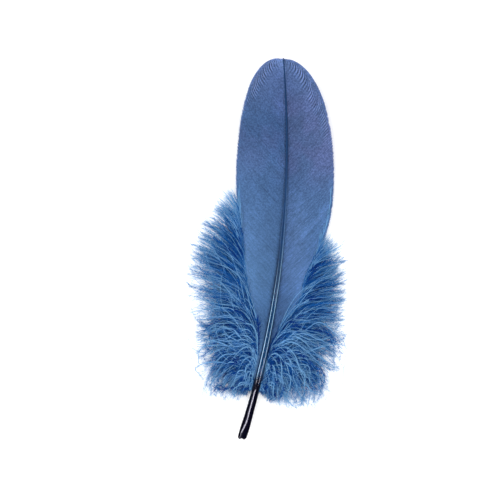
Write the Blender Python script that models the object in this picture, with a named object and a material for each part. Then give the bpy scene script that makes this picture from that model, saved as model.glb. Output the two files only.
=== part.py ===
"""Goose quill feather, lying on its back, as five closed solids.

The feather lies with its grooved underside up, as it shows best. Seen from above, the quill end is
at -Y, the tip at +Y, and the shaft bows gently to +X. Seen from the side it lies like a shallow
boat: the shaft touches the ground a little past its middle, and both ends rise. The two tufts of
down at the foot of the vanes rest on the ground and keep it from rolling.

Until the last step, x and y are measured from the quill's end, with y along the straight line to
the tip. Then everything hangs under one empty, which puts the origin at the bottom centre.
"""

import math

import bmesh
import bpy
import numpy as np
from mathutils import Vector

MM = 0.001

# The whole feather
LENGTH = 170 * MM  # quill end to tip, in a straight line
BOW = 8.5 * MM  # how far the shaft's middle stands off that line
BELLY = 100 * MM  # where the shaft touches the ground, from the quill end
TIP_RISE = 9 * MM  # height of the shaft's underside at the tip
QUILL_RISE = 3.5 * MM  # and at the quill's end
GAP = 0.3 * MM  # clearance between neighbouring solids

# The shaft: (distance from the quill's end, size), all in mm
SHAFT_WIDTHS = [
    (0, 3.9), (4, 4.1), (12, 3.7), (26, 3.3), (40, 3.0), (62, 2.4), (107, 1.3), (150, 0.75), (170, 0.4),
]
SHAFT_HEIGHTS = [
    (0, 3.7), (4, 3.9), (12, 3.8), (26, 3.6), (40, 3.3), (62, 2.7), (107, 1.6), (150, 0.8), (170, 0.4),
]
GROOVE_DEPTHS = [(0, 0), (22, 0), (34, 0.35), (62, 0.4), (95, 0.2), (120, 0), (170, 0)]
GROOVE_WIDTH = 0.3  # as a share of the shaft's width
SHAFT_SQUARENESS = [(0, 2), (22, 2), (50, 2.8), (170, 2.8)]  # power of the section's outline
SHAFT_SIDES = 24
SHAFT_STATIONS = 56
NOTCH_DEPTH = 0.8 * MM  # the nick in the upper rim of the quill's end
NOTCH_SPREAD = math.radians(24)
PIT_DEPTH = 1.2 * MM  # the small opening in the quill's end
PIT_WALL = 0.7 * MM

# The vanes: half widths are measured across from the shaft's centreline
VANE_FOOT = 26 * MM  # where the vanes begin
VANE_THICKNESS = 0.4 * MM
VANE_CAMBER = 3.0 * MM  # rise of the widest margin above the shaft's side
VANE_ROOT = 0.3  # height of the barbs' roots, as a share of the shaft's height
VANE_STATIONS = 44
VANE_STRIPS = 7

# Each side: where the vane is widest and how wide (mm), the power of its rounded tip, and its
# half widths below that
LEFT_WIDEST = (118, 22.8)
LEFT_TIP_POWER = 2.15
LEFT_HALF_WIDTHS = [(26, 2.3), (36, 3.9), (46, 5.9), (56, 10.2), (68, 13.8), (92, 18.6), LEFT_WIDEST]
RIGHT_WIDEST = (115, 21.5)
RIGHT_TIP_POWER = 2.35
RIGHT_HALF_WIDTHS = [
    (26, 2.2), (34, 2.8), (44, 4.0), (51, 7.6), (60, 11.7), (74, 13.5), (83, 16.6), (96, 19.8), RIGHT_WIDEST,
]

# The down: outer outlines (x, y), from the foot up to the last wisps, in mm
LEFT_DOWN_OUTLINE = [
    (1.2, 22), (-3, 17.5), (-10, 15.5), (-16, 19), (-20, 29), (-25, 41), (-30.5, 56), (-33, 70),
    (-33, 84), (-29.5, 93), (-25, 101), (-19, 107.5), (-16.2, 109),
]
LEFT_DOWN_SPAN = (22 * MM, 106 * MM)  # the stretch of the vane that it borders
RIGHT_DOWN_OUTLINE = [
    (5.6, 22), (9, 19), (16, 16.8), (25, 16.3), (34, 19.5), (40.5, 28), (42.6, 42), (42.2, 54),
    (39.8, 66), (38.4, 78), (37, 89), (32, 91.5), (28.3, 92),
]
RIGHT_DOWN_SPAN = (22 * MM, 91 * MM)
DOWN_HEIGHTS = [(0, 5), (0.3, 8.5), (0.65, 8), (1, 6)]  # the crest's height, along the tuft
DOWN_WALL = 0.55  # height of the side that borders the vane, as a share of the crest's
DOWN_RIM = 0.2  # and of the outer rim
DOWN_CREST = 0.4  # how far out the crest lies
DOWN_STATIONS = 30
DOWN_STRIPS = 8


def smooth_through(knots, at, level_end=False):
    """Read the smooth curve through (place, value) knots at the given places.

    Between two knots it is the cubic that has the knots' own gradients at its ends. With level_end
    the curve runs out level at its last knot.
    """
    place, value = np.array(knots, float).T
    slope = np.gradient(value, place)
    if level_end:
        slope[-1] = 0
    left = np.clip(np.searchsorted(place, at) - 1, 0, len(place) - 2)
    step = place[left + 1] - place[left]
    t = (at - place[left]) / step
    ends = (1 + 2 * t) * (1 - t) ** 2 * value[left] + t**2 * (3 - 2 * t) * value[left + 1]
    bends = t * (1 - t) ** 2 * slope[left] + t**2 * (t - 1) * slope[left + 1]
    return ends + step * bends


def smooth_mm(knots, y, level_end=False):
    """The same for knots in mm, at a place in metres, giving metres."""
    return smooth_through(knots, y / MM, level_end) * MM


def along_outline(points, share):
    """Points at the given shares (0 to 1) of the smooth curve through outline points in mm."""
    points = np.array(points, float)
    chords = np.hypot(*np.diff(points, axis=0).T)
    travelled = np.concatenate([[0], np.cumsum(chords)]) / chords.sum()
    x = smooth_through(np.column_stack([travelled, points[:, 0]]), share)
    y = smooth_through(np.column_stack([travelled, points[:, 1]]), share)
    return x * MM, y * MM


def shaft_x(y):
    """Centreline of the shaft, a flat parabola that bows to +X."""
    share = y / LENGTH
    return 4 * BOW * share * (1 - share)


def ground_clearance(y):
    """Height of the shaft's underside: none at the belly, rising by squares to both ends."""
    to_tip = np.maximum(y - BELLY, 0) / (LENGTH - BELLY)
    to_quill = np.maximum(BELLY - y, 0) / BELLY
    return TIP_RISE * to_tip**2 + QUILL_RISE * to_quill**2


def vane_z(y, off):
    """Height of a vane's middle surface at a distance off the centreline."""
    root = ground_clearance(y) + VANE_ROOT * smooth_mm(SHAFT_HEIGHTS, y)
    return root + VANE_CAMBER * (off / (LEFT_WIDEST[1] * MM)) ** 2


def half_width(y, below, widest, power):
    """A vane's half width: a rounded superellipse above its widest place, a smooth curve below."""
    place, width = widest[0] * MM, widest[1] * MM
    share = np.clip((y - place) / (LENGTH - place), 0, 1)
    above = width * (1 - share**power) ** (1 / power)
    return np.where(y > place, above, smooth_mm(below, np.minimum(y, place), level_end=True))


def left_half_width(y):
    return half_width(y, LEFT_HALF_WIDTHS, LEFT_WIDEST, LEFT_TIP_POWER)


def right_half_width(y):
    return half_width(y, RIGHT_HALF_WIDTHS, RIGHT_WIDEST, RIGHT_TIP_POWER)


def clear_scene():
    for obj in list(bpy.data.objects):
        bpy.data.objects.remove(obj)


def material(name, colour, roughness):
    made = bpy.data.materials.new(name)
    made.use_nodes = True
    shader = made.node_tree.nodes["Principled BSDF"]
    shader.inputs["Base Color"].default_value = (*colour, 1)
    shader.inputs["Roughness"].default_value = roughness
    shader.inputs["Metallic"].default_value = 0
    return made


def grid_bmesh(across, along, surface):
    """A grid whose points (u, v), both from 0 to 1, are moved to surface(u, v), an N by 3 array."""
    bm = bmesh.new()
    bmesh.ops.create_grid(bm, x_segments=across, y_segments=along, size=1)
    u, v = (np.array([vert.co[:2] for vert in bm.verts]).T + 1) / 2
    for vert, place in zip(bm.verts, surface(u, v)):
        vert.co = place
    return bm


def object_of(bm, name, finish, parent):
    mesh = bpy.data.meshes.new(name)
    bmesh.ops.recalc_face_normals(bm, faces=bm.faces)
    bm.to_mesh(mesh)
    bm.free()
    mesh.materials.append(finish)
    obj = bpy.data.objects.new(name, mesh)
    obj.parent = parent
    bpy.context.collection.objects.link(obj)
    return obj


def shaft_surface(u, v):
    """The shaft's skin: u goes once round the section, v from the quill's end to the tip.

    A section is a superellipse, round in the quill and squarer in the rachis, with a groove
    pressed into its top. The top of the end rim is set back by the nick.
    """
    y = v * LENGTH
    angle = 2 * math.pi * u
    power = 2 / smooth_through(SHAFT_SQUARENESS, y / MM)
    across = np.sign(np.cos(angle)) * np.abs(np.cos(angle)) ** power
    up = np.sign(np.sin(angle)) * np.abs(np.sin(angle)) ** power
    height = smooth_mm(SHAFT_HEIGHTS, y)
    groove = smooth_mm(GROOVE_DEPTHS, y) * np.exp(-((across / 2 / GROOVE_WIDTH) ** 2)) * (up > 0)
    x = shaft_x(y) + across * smooth_mm(SHAFT_WIDTHS, y) / 2
    z = ground_clearance(y) + (1 + up) * height / 2 - groove
    nick = NOTCH_DEPTH * np.exp(-(((angle - math.pi / 2) / NOTCH_SPREAD) ** 2))
    return np.column_stack([x, y + nick * np.maximum(1 - y / (4 * NOTCH_DEPTH), 0), z])


def make_shaft(parent):
    """A grid rolled into a tapering tube, closed at the tip, with a shallow pit in the quill's end."""
    bm = grid_bmesh(SHAFT_SIDES, SHAFT_STATIONS, shaft_surface)
    bmesh.ops.remove_doubles(bm, verts=bm.verts, dist=MM / 1000)
    ends = bmesh.ops.holes_fill(bm, edges=[edge for edge in bm.edges if edge.is_boundary])["faces"]
    quill_end = min(ends, key=lambda face: face.calc_center_median().y)
    bmesh.ops.recalc_face_normals(bm, faces=bm.faces)
    bmesh.ops.inset_region(bm, faces=[quill_end], thickness=PIT_WALL)
    bmesh.ops.inset_region(bm, faces=[quill_end], thickness=PIT_WALL / 3, depth=-PIT_DEPTH)
    shaft = object_of(bm, "shaft", material("horn", (0.012, 0.016, 0.045), 0.25), parent)
    shaft.data.shade_smooth()
    shaft.data.set_sharp_from_angle(angle=math.radians(40))
    return shaft


def make_vane(name, side, outline, finish, parent):
    """A thin cambered web from beside the shaft out to its margin; side is -1 left, +1 right."""

    def surface(u, v):
        y = VANE_FOOT + (LENGTH - GAP - VANE_FOOT) * np.sin(v * math.pi / 2)
        inner = smooth_mm(SHAFT_WIDTHS, y) / 2 + GAP
        off = inner + (np.maximum(outline(y), inner + GAP) - inner) * u
        return np.column_stack([shaft_x(y) + side * off, y, vane_z(y, off)])

    vane = object_of(grid_bmesh(VANE_STRIPS, VANE_STATIONS, surface), name, finish, parent)
    web = vane.modifiers.new("web", "SOLIDIFY")
    web.thickness = VANE_THICKNESS
    web.offset = 0
    vane.data.shade_smooth()
    return vane


def make_down(name, side, outline, span, outer, finish, parent):
    """A low mound of down from the vane's margin out to the wisps, flat where it lies."""

    def surface(u, v):
        y_in = span[0] + (span[1] - span[0]) * v
        beside = np.where(y_in > VANE_FOOT, outline(y_in), smooth_mm(SHAFT_WIDTHS, y_in) / 2)
        x_in = shaft_x(y_in) + side * (beside + GAP)
        x_out, y_out = along_outline(outer, v)
        crest = smooth_mm(DOWN_HEIGHTS, v * MM)
        bump = np.where(u < DOWN_CREST, u / DOWN_CREST, (1 - u) / (1 - DOWN_CREST))
        foot = np.where(u < DOWN_CREST, DOWN_WALL, DOWN_RIM)
        z = crest * (foot + (1 - foot) * np.sin(bump * math.pi / 2))
        return np.column_stack([x_in + (x_out - x_in) * u, y_in + (y_out - y_in) * u, z])

    bm = grid_bmesh(DOWN_STRIPS, DOWN_STATIONS, surface)
    copied = bmesh.ops.extrude_face_region(bm, geom=bm.faces[:])["geom"]
    for vert in (item for item in copied if isinstance(item, bmesh.types.BMVert)):
        vert.co.z = 0
    down = object_of(bm, name, finish, parent)
    down.data.shade_smooth()
    down.data.set_sharp_from_angle(angle=math.radians(40))
    return down


def centre_on_origin(holder, pieces):
    """Move the empty that holds the feather so that the bottom centre of its box is the origin."""
    bpy.context.view_layer.update()
    graph = bpy.context.evaluated_depsgraph_get()
    corners = [Vector(corner) for piece in pieces for corner in piece.evaluated_get(graph).bound_box]
    low = Vector(min(corner[axis] for corner in corners) for axis in range(3))
    high = Vector(max(corner[axis] for corner in corners) for axis in range(3))
    holder.location = (-(low.x + high.x) / 2, -(low.y + high.y) / 2, -low.z)


def main():
    clear_scene()
    feather = bpy.data.objects.new("feather", None)
    bpy.context.collection.objects.link(feather)
    web = material("web", (0.075, 0.165, 0.34), 0.6)
    fluff = material("fluff", (0.035, 0.13, 0.33), 0.9)
    pieces = [
        make_shaft(feather),
        make_vane("left_vane", -1, left_half_width, web, feather),
        make_vane("right_vane", 1, right_half_width, web, feather),
        make_down(
            "left_down", -1, left_half_width, LEFT_DOWN_SPAN, LEFT_DOWN_OUTLINE, fluff, feather
        ),
        make_down(
            "right_down", 1, right_half_width, RIGHT_DOWN_SPAN, RIGHT_DOWN_OUTLINE, fluff, feather
        ),
    ]
    centre_on_origin(feather, pieces)


main()
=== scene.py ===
"""Looks of a dyed-blue goose quill feather, lying grooved side up on a pale floor.

The feather is built as it grows. A horny shaft carries two vanes of barbs that leave it at an angle
and sweep towards the tip, each one a ribbon of web with a ridge along it. The lowest barbs lose
their hooks past a clean line and run on as loose down: a thin stalk with soft barbules on both
sides. Every surface is a section carried along a path, worked out for a whole piece at once.

Places on the feather are given as y, the distance from the quill's end along the straight line to
the tip, off, the distance out from the shaft's centreline, and z, the height above the ground.
Angles of barbs are from the direction of the tip, outwards.
"""

import logging
import math
from dataclasses import dataclass
from enum import Enum

import bpy
import numpy as np
from mathutils import Matrix, Vector


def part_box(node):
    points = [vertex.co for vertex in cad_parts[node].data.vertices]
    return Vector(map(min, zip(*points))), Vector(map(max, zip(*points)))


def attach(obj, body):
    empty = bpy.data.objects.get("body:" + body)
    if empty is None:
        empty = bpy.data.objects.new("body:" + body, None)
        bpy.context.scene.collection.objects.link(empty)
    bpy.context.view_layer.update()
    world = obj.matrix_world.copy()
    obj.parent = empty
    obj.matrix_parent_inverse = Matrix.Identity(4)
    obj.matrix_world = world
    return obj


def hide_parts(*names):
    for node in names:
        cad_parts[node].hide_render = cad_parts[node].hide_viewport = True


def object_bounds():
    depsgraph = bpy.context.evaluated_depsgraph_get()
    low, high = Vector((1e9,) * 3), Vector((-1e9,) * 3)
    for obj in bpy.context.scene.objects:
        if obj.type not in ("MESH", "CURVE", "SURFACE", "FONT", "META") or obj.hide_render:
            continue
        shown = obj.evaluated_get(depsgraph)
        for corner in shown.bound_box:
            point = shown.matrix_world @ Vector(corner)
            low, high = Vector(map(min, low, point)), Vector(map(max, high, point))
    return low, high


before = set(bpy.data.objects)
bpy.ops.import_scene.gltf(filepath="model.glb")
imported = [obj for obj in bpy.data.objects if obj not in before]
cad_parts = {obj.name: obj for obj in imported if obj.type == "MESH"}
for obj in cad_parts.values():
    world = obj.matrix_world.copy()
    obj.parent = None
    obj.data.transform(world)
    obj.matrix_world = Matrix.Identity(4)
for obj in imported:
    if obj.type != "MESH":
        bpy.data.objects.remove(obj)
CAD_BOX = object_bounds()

logging.basicConfig(level=logging.INFO, format="%(message)s")
LOG = logging.getLogger("feather")

MM = 0.001
UP = np.array([0.0, 0.0, 1.0])
TINY = 1e-9
BAKE_MAP = "OFBake"
VALUE_MAP = "Along"
MAP_STEP = 0.01  # sets the corners of a face apart in the map, so that no face is flat there
Array = np.ndarray
Object = bpy.types.Object
Material = bpy.types.Material
Range = tuple[float, float]
Ends = tuple[float | Array, float | Array]
Knots = tuple[Range, ...]
Band = tuple[float, float, float, float]  # low, full, fading, high, as Shader.band takes them
Ease = tuple[float, float, float, float]  # low, high, start, end, as Shader.span takes them
Colour = tuple[float, float, float]
Socket = bpy.types.NodeSocket
Inputs = dict[int | str, object]
Chance = np.random.Generator


# --- Curves ---


def smooth_through(knots: Knots, at: Array, level_end: bool = False) -> Array:
    """Read the smooth curve through (place, value) knots.

    Between two knots it is the cubic that has the knots' own gradients at its ends.

    Args:
        knots: the (place, value) pairs, places rising.
        at: where to read the curve; it is held level outside the knots.
        level_end: whether the curve runs out level at its last knot.

    Returns:
        The curve's values, in the shape of at.
    """
    place, value = np.array(knots, float).T
    slope = np.gradient(value, place)
    if level_end:
        slope[-1] = 0
    left = np.clip(np.searchsorted(place, at) - 1, 0, len(place) - 2)
    step = place[left + 1] - place[left]
    t = np.clip((at - place[left]) / step, 0, 1)
    ends = (1 + 2 * t) * (1 - t) ** 2 * value[left] + t**2 * (3 - 2 * t) * value[left + 1]
    bends = t * (1 - t) ** 2 * slope[left] + t**2 * (t - 1) * slope[left + 1]
    return ends + step * bends


def smooth_mm(knots: Knots, at: Array, level_end: bool = False) -> Array:
    """The same for knots in mm, at places in metres, giving metres."""
    return smooth_through(knots, at / MM, level_end) * MM


def between(ends: Ends, share: Array) -> Array:
    """The straight line from the first end at share 0 to the second at share 1, and on past it."""
    return ends[0] + (ends[1] - ends[0]) * share


def smooth_step(ends: Ends, at: Array) -> Array:
    """Ease from 0 at the first end to 1 at the second, level at both."""
    t = np.clip((at - ends[0]) / (ends[1] - ends[0]), 0, 1)
    return t * t * (3 - 2 * t)


def step_mm(ends: Range, at: Array) -> Array:
    """The same for ends in mm, at places in metres."""
    return smooth_step((ends[0] * MM, ends[1] * MM), at)


def eased(ease: Ease, at: Array) -> Array:
    """Map low..high to start..end, eased and held at both ends."""
    low, high, start, end = ease
    return between((start, end), smooth_step((low, high), at))


def cell(at: Array, count: int) -> tuple[Array, Array]:
    """Which gap in a row of count points a place is in, and how far through it, as a new last axis."""
    low = np.minimum(at.astype(int), count - 2)
    return low, (at - low)[..., None]


def toward(angle: Array) -> Array:
    """The step of length 1 (y, off) in the direction of an angle, in radians."""
    return np.stack([np.cos(angle), np.sin(angle)], axis=-1)


def bell(at: Array, width: float | Array) -> Array:
    """The bell curve exp(-(at / width)^2)."""
    return np.exp(-((at / width) ** 2))


def unit(vectors: Array) -> Array:
    """Scale vectors along the last axis to length 1; a vector of no length stays as it is."""
    return vectors / np.maximum(np.linalg.norm(vectors, axis=-1, keepdims=True), TINY**2)


# --- Meshes ---


@dataclass(frozen=True)
class Skin:
    """Points and faces of a piece before they become a mesh, with two map places for each point."""

    points: Array
    faces: list[Array]
    chart: Array
    along: Array


def tubes(sections: Array, chart: Array, along: Array) -> Skin:
    """Skin a batch of tubes, each a closed section carried along a path and capped at both ends.

    Point k of section m joins its neighbours k + 1 and m + 1 in a four-sided face.

    Args:
        sections: points as [tube, section, point round the section, xyz].
        chart: a map place (u, v) for each of them, [tube, section, point, 2].
        along: two more values a point that a material may read, [tube, section, point, 2].

    Returns:
        The skin of all the tubes.
    """
    count, long, around, _ = sections.shape
    here = np.arange(count * long * around).reshape(count, long, around)
    beside = np.roll(here, -1, axis=2)
    sides = np.stack([here[:, :-1], beside[:, :-1], beside[:, 1:], here[:, 1:]], axis=-1)
    caps = np.concatenate([here[:, 0, ::-1], here[:, -1]])
    return Skin(
        sections.reshape(-1, 3), [sides.reshape(-1, 4), caps], chart.reshape(-1, 2), along.reshape(-1, 2)
    )


def spikes(feet: Array, tips: Array, chart: Array) -> Skin:
    """Skin a batch of thin spikes, each a three-cornered foot drawn out to a point.

    Args:
        feet: the corners, [spike, 3, xyz].
        tips: the points, [spike, xyz].
        chart: a map place for the corners and the point, [spike, 4, 2].

    Returns:
        The skin of all the spikes.
    """
    points = np.concatenate([feet, tips[:, None]], axis=1)
    first = 4 * np.arange(len(feet))[:, None, None]
    faces = (first + np.array([(2, 1, 0), (0, 1, 3), (1, 2, 3), (2, 0, 3)])).reshape(-1, 3)
    chart = chart.reshape(-1, 2)
    return Skin(points.reshape(-1, 3), [faces], chart, chart)


def piece(name: str, skin: Skin, finish: Material, outward: int = 1) -> Object:
    """Make a finished piece of a skin, shaded smooth.

    Args:
        name: the piece's name.
        skin: its points and faces.
        finish: its material.
        outward: -1 turns every face round, for a skin whose sections run the other way.

    Returns:
        The new object, at the origin, with its place in its mesh.
    """
    mesh = bpy.data.meshes.new(name)
    mesh.vertices.add(len(skin.points))
    mesh.vertices.foreach_set("co", skin.points.astype(np.float32).ravel())
    faces = [face[:, ::outward] for face in skin.faces]
    corners = np.concatenate([face.ravel() for face in faces])
    sizes = np.concatenate([np.full(len(face), face.shape[1]) for face in faces])
    mesh.loops.add(len(corners))
    mesh.loops.foreach_set("vertex_index", corners.astype(np.int32))
    mesh.polygons.add(len(sizes))
    starts = np.concatenate([[0], np.cumsum(sizes)[:-1]])
    mesh.polygons.foreach_set("loop_start", starts.astype(np.int32))
    mesh.update(calc_edges=True)
    mesh.shade_smooth()
    for layer, values in ((BAKE_MAP, skin.chart), (VALUE_MAP, skin.along)):
        chart = mesh.uv_layers.new(name=layer)
        chart.uv.foreach_set("vector", values[corners].astype(np.float32).ravel())
    mesh.materials.append(finish)
    return shown(name, mesh)


def shown(name: str, data: bpy.types.ID) -> Object:
    """Put a mesh, a light or a camera into the scene, at the origin.

    Args:
        name: the object's name.
        data: its mesh, light or camera.

    Returns:
        The new object.
    """
    obj = bpy.data.objects.new(name, data)
    bpy.context.scene.collection.objects.link(obj)
    return obj


def triangles(obj: Object) -> int:
    """How many triangles a piece has.

    Args:
        obj: the piece.

    Returns:
        The number, with each face counted as a fan.
    """
    sizes = np.empty(len(obj.data.polygons), np.int32)
    obj.data.polygons.foreach_get("loop_total", sizes)
    return int((sizes - 2).sum())


# --- The feather's own form ---


class Side(Enum):
    """The two sides of the shaft, seen from above with the tip away from you."""

    LEFT = -1
    RIGHT = 1


@dataclass(frozen=True)
class FeatherForm:
    """The shaft's line, thickness and lie, which everything else hangs on."""

    quill_x: float
    quill_y: float
    length: float = 170 * MM
    bow: float = 8.5 * MM
    belly: float = 100 * MM
    tip_rise: float = 9 * MM
    quill_rise: float = 3.5 * MM
    widths: Knots = (
        (0, 3.9), (4, 4.1), (12, 3.7), (26, 3.3), (40, 3.0), (62, 2.4), (107, 1.3), (150, 0.75), (170, 0.4),
    )
    heights: Knots = (
        (0, 3.7), (4, 3.9), (12, 3.8), (26, 3.6), (40, 3.3), (62, 2.7), (107, 1.6), (150, 0.8), (170, 0.4),
    )

    @classmethod
    def from_frame(cls) -> "FeatherForm":
        """Read where the quill's end is from the CAD shaft, whose leftmost point is its rim.

        Returns:
            The form, at the shaft's place in the frame.
        """
        low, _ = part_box("shaft")
        rim = cls.widths[0][1] * MM / 2
        return cls(quill_x=low.x + rim, quill_y=low.y)

    def centre(self, y: Array) -> Array:
        """The centreline's place across, a flat parabola."""
        share = y / self.length
        return 4 * self.bow * share * (1 - share)

    def clearance(self, y: Array) -> Array:
        """Height of the shaft's underside: none at the belly, rising by squares to both ends.

        Args:
            y: distance from the quill's end.

        Returns:
            The heights.
        """
        to_tip = np.maximum(y - self.belly, 0) / (self.length - self.belly)
        to_quill = np.maximum(self.belly - y, 0) / self.belly
        return self.tip_rise * to_tip**2 + self.quill_rise * to_quill**2

    def width(self, y: Array) -> Array:
        """The shaft's width."""
        return smooth_mm(self.widths, y)

    def height(self, y: Array) -> Array:
        """The shaft's height."""
        return smooth_mm(self.heights, y)

    def place(self, side: Side, y: Array, off: Array, z: Array) -> Array:
        """Turn places on the feather into points of the frame.

        Args:
            side: which side of the shaft off is measured to.
            y: distance from the quill's end.
            off: distance from the centreline.
            z: height.

        Returns:
            Points, with xyz as a new last axis.
        """
        x = self.quill_x + self.centre(y) + side.value * off
        return np.stack(np.broadcast_arrays(x, self.quill_y + y, z), axis=-1)


# --- Finishes ---


class Shader:
    """A material's node tree, with short calls for the nodes that the finishes use."""

    def __init__(self, name: str, roughness: float, specular: float = 0.5) -> None:
        """Start a material that holds a plain Principled BSDF of this roughness and gloss.

        Args:
            name: the material's name.
            roughness: how rough the surface is.
            specular: how strongly it reflects.
        """
        self.material = bpy.data.materials.new(name)
        self.material.use_nodes = True
        self.tree = self.material.node_tree
        self.surface = self.tree.nodes["Principled BSDF"]
        self.link(self.surface, {"Roughness": roughness, "Specular IOR Level": specular})

    def link(self, node: bpy.types.Node, inputs: Inputs) -> None:
        """Join outputs to a node's inputs, or set them to plain values or colours.

        Args:
            node: the node.
            inputs: an output, number or colour for each input, by number or name.
        """
        for socket, source in inputs.items():
            if isinstance(source, Socket):
                self.tree.links.new(source, node.inputs[socket])
            elif isinstance(source, tuple):
                node.inputs[socket].default_value = (*source, 1)
            else:
                node.inputs[socket].default_value = source

    def node(self, kind: str, inputs: Inputs, **settings: object) -> bpy.types.Node:
        """Add a node with its plain settings and its inputs.

        Args:
            kind: the node's type.
            inputs: what goes into it, as in link.
            settings: its plain settings, by name.

        Returns:
            The new node.
        """
        made = self.tree.nodes.new(kind)
        for key, value in settings.items():
            setattr(made, key, value)
        self.link(made, inputs)
        return made

    def chart(self, layer: str) -> tuple[Socket, Socket]:
        """The two values of one of the piece's maps.

        Args:
            layer: the map's name.

        Returns:
            The values u and v.
        """
        read = self.node("ShaderNodeUVMap", {}, uv_map=layer)
        split = self.node("ShaderNodeSeparateXYZ", {0: read.outputs["UV"]})
        return split.outputs[0], split.outputs[1]

    def place(self) -> Socket:
        """The point's place on the piece."""
        return self.node("ShaderNodeTexCoord", {}).outputs["Object"]

    def math(self, operation: str, first: object, second: object = 0.0) -> Socket:
        """One step of arithmetic."""
        return self.node("ShaderNodeMath", {0: first, 1: second}, operation=operation).outputs[0]

    def plus(self, first: object, second: object) -> Socket:
        """The sum of two values."""
        return self.math("ADD", first, second)

    def times(self, *factors: object) -> Socket:
        """The product of several values.

        Args:
            factors: numbers or outputs.

        Returns:
            The product.
        """
        product = factors[0]
        for factor in factors[1:]:
            product = self.math("MULTIPLY", product, factor)
        return product

    def ramp(self, value: object, stops: tuple[tuple[float, Colour], ...]) -> Socket:
        """A colour that changes smoothly with a value, through (value, colour) stops.

        Args:
            value: what the colour follows.
            stops: the (value, colour) pairs, values rising.

        Returns:
            The colour.
        """
        made = self.node("ShaderNodeValToRGB", {0: value})
        made.color_ramp.interpolation = "EASE"
        while len(made.color_ramp.elements) < len(stops):
            made.color_ramp.elements.new(0.5)
        for element, (place, colour) in zip(made.color_ramp.elements, stops):
            element.position = place
            element.color = (*colour, 1)
        return made.outputs[0]

    def span(self, value: object, low: float, high: float, start: float = 0.0, end: float = 1.0) -> Socket:
        """Map low..high of a value to start..end, eased and held at both ends, as eased does."""
        inputs = {0: value, 1: low, 2: high, 3: start, 4: end}
        return self.node("ShaderNodeMapRange", inputs, interpolation_type="SMOOTHSTEP").outputs[0]

    def band(self, value: object, low: float, full: float, fading: float, high: float) -> Socket:
        """1 between full and fading, eased to 0 at low and at high."""
        return self.times(self.span(value, low, full), self.span(value, high, fading))

    def mix(self, factor: object, first: object, second: object, blend: str = "MIX") -> Socket:
        """Blend two colours, which the node has as inputs 6 and 7 and as output 2."""
        inputs = {0: factor, 6: first, 7: second}
        return self.node("ShaderNodeMix", inputs, data_type="RGBA", blend_type=blend).outputs[2]

    def noise(self, vector: object, scale: float, detail: float = 2.0) -> Socket:
        """Soft cloudy noise round one half."""
        inputs = {"Vector": vector, "Scale": scale, "Detail": detail}
        return self.node("ShaderNodeTexNoise", inputs).outputs[0]

    def vector(self, x: object, y: object, z: object = 0.0) -> Socket:
        """Three values as one vector."""
        return self.node("ShaderNodeCombineXYZ", {0: x, 1: y, 2: z}).outputs[0]

    def dim(self, colour: object, *factors: object) -> Socket:
        """A colour times several plain values."""
        value = self.times(*factors)
        return self.mix(1.0, colour, self.vector(value, value, value), "MULTIPLY")

    def done(self, colour: object) -> Material:
        """Give the surface its colour and hand over the material."""
        self.link(self.surface, {"Base Color": colour})
        return self.material


@dataclass(frozen=True)
class HornFinish:
    """Dyed horn: near-black and glossy in the quill, teal above it, with painted highlights on two rails.

    Rails, flank_shade_edge and shade lie across, from -1 at the left to 1 at the right. The other
    ranges are along, in shares of the length from the quill's end, but for the grain's own.
    """

    quill: Colour = (0.002, 0.002, 0.008)
    # painted shade: the horn's dark dye, darkened further for the sides and underside turned from the light
    flank_shade: Colour = (0.005, 0.016, 0.06)
    groove: Colour = (0.003, 0.04, 0.115)
    # painted highlight: the pale rail colour stands in for the glints along the two rails
    rail_highlight: Colour = (0.31, 0.56, 0.8)
    upper: Colour = (0.001, 0.034, 0.118)
    upper_light: Colour = (0.075, 0.17, 0.35)
    roughness: Ease = (0.34, 0.5, 0.1, 0.95)
    left_rail: Band = (-0.7, -0.6, -0.52, -0.44)
    left_fade: Ease = (0.32, 0.5, 1.0, 0.12)
    right_rail: Band = (0.44, 0.52, 0.6, 0.72)
    right_drift: Ease = (0.3, 0.47, 0.0, 0.2)
    right_fade: Ease = (0.15, 0.38, 0.2, 1.0)
    rails_end: Ease = (0.5, 0.57, 1.0, 0.0)
    flank_shade_edge: Range = (0.6, 0.74)
    shade: Band = (-0.95, -0.65, 0.3, 0.6)
    light_end: Range = (0.78, 0.52)
    upper_start: Range = (0.44, 0.56)
    quill_end: Range = (0.152, 0.184)
    grain_scale: float = 900.0
    grain: Ease = (0.3, 0.7, 0.85, 1.15)

    def material(self) -> Material:
        """Blend the colours by place along the shaft and by place across it.

        The rails are painted highlights, and the left one fades first. The flanks carry painted shade,
        and the right edge of the upper shaft is painted light. The horn is polished in the quill and
        dull towards the tip.

        Returns:
            The horn's material.
        """
        shader = Shader("horn", self.roughness[2])
        across, share = shader.chart(VALUE_MAP)
        shader.link(shader.surface, {"Roughness": shader.span(share, *self.roughness)})
        # painted highlight on the two rails, the left one fading first
        left = shader.times(shader.band(across, *self.left_rail), shader.span(share, *self.left_fade))
        outward = shader.math("SUBTRACT", across, shader.span(share, *self.right_drift))
        right = shader.times(shader.band(outward, *self.right_rail), shader.span(share, *self.right_fade))
        rails = shader.times(shader.plus(left, right), shader.span(share, *self.rails_end))
        # painted shade on the flanks and the underside
        outer = shader.span(shader.math("ABSOLUTE", across), *self.flank_shade_edge)
        colour = shader.mix(rails, shader.mix(outer, self.groove, self.flank_shade), self.rail_highlight)
        lit = shader.math("SUBTRACT", 1.0, shader.band(across, *self.shade))
        lit = shader.times(lit, shader.span(share, *self.light_end))
        upper = shader.mix(lit, self.upper, self.upper_light)
        colour = shader.mix(shader.span(share, *self.upper_start), colour, upper)
        colour = shader.mix(shader.span(share, *self.quill_end), self.quill, colour)
        grain = shader.span(shader.noise(shader.place(), self.grain_scale), *self.grain)
        return shader.done(shader.dim(colour, grain))


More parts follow.
